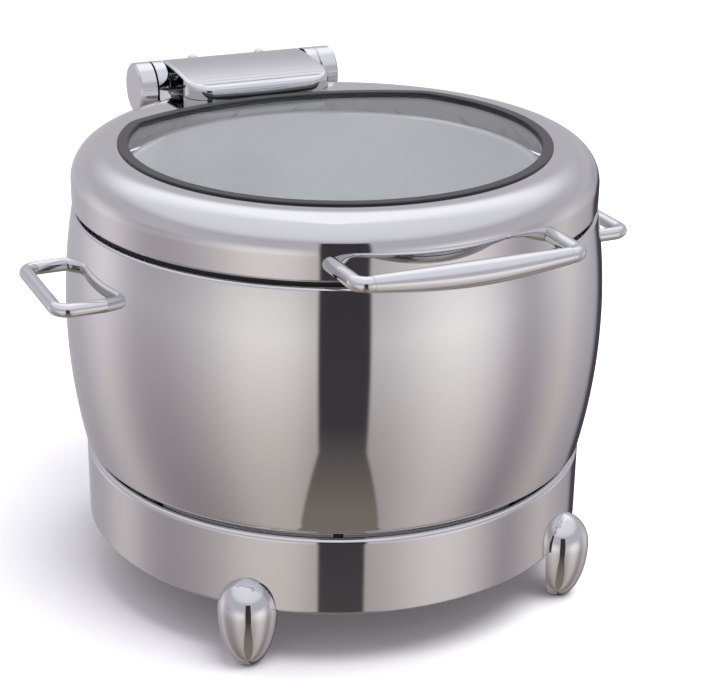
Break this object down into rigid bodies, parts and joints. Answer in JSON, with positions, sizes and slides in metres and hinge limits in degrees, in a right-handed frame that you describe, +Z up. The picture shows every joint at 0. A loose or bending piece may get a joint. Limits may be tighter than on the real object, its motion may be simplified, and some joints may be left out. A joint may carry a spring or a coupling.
{
  "type": "soup kettle",
  "caption": "Round polished soup kettle: barrel body with water pan and soup pot, hinged lid with a window, side handles, on a loose stand ring with egg-shaped feet.",
  "frame": {"origin": "on the table, at the centre of the round body and stand", "axes": "+Z up, -Y towards the front with the lid handle, +X to the right seen from the front, +Y towards the hinge"},
  "size_m": [0.4606, 0.4563, 0.3479],
  "materials": {
    "mirror_steel": "mirror polished stainless steel",
    "satin_steel": "satin stainless steel",
    "fastener_steel": "plain turned steel",
    "base_aluminium": "rolled aluminium under steel",
    "black_rubber": "satin silicone rubber",
    "window_glass": "clear tempered glass",
    "damper_plastic": "moulded",
    "bush_plastic": "moulded"
  },
  "bodies": {
    "stand": {"stand_ring": "mirror_steel", "ledge_ring": "satin_steel", "rest_pads": "black_rubber", "foot_front_left": "mirror_steel", "foot_front_right": "mirror_steel", "foot_rear_left": "mirror_steel", "foot_rear_right": "mirror_steel", "foot_rubbers": "black_rubber", "foot_screws": "fastener_steel"},
    "kettle": {"body_shell": "mirror_steel", "base_plate": "base_aluminium", "water_pan": "satin_steel", "pot_ring": "satin_steel", "soup_pot": "satin_steel", "rim_seal": "black_rubber", "side_handle_left": "mirror_steel", "side_handle_right": "mirror_steel", "side_handle_washers": "fastener_steel", "side_handle_nuts": "fastener_steel", "hinge_bracket": "mirror_steel", "bracket_backing": "fastener_steel", "bracket_screws": "fastener_steel", "bracket_nuts": "fastener_steel", "hinge_pin": "fastener_steel", "pin_bushes": "bush_plastic", "end_cap_left": "mirror_steel", "end_cap_right": "mirror_steel"},
    "lid": {"lid_shell": "mirror_steel", "lid_liner": "satin_steel", "glass_pane": "window_glass", "glass_gasket": "black_rubber", "lid_barrel": "mirror_steel", "friction_collars": "mirror_steel", "hinge_damper": "damper_plastic", "lid_arm": "fastener_steel", "arm_screws": "fastener_steel", "arm_nuts": "fastener_steel", "hinge_cover": "mirror_steel", "cover_screws": "mirror_steel", "lid_handle_arm_left": "mirror_steel", "lid_handle_arm_right": "mirror_steel", "lid_handle_grip": "mirror_steel", "lid_handle_washers": "fastener_steel", "lid_handle_nuts": "fastener_steel"}
  },
  "joints": [
    {"name": "kettle_lift", "type": "slide", "parent": "stand", "child": "kettle", "axis": [0, 0, 1], "range_m": [0, 0.12]},
    {"name": "lid_hinge", "type": "hinge", "parent": "kettle", "child": "lid", "pos_m": [0, 0.20863, 0.3274], "axis": [-1, 0, 0], "range_deg": [0, 90]}
  ]
}
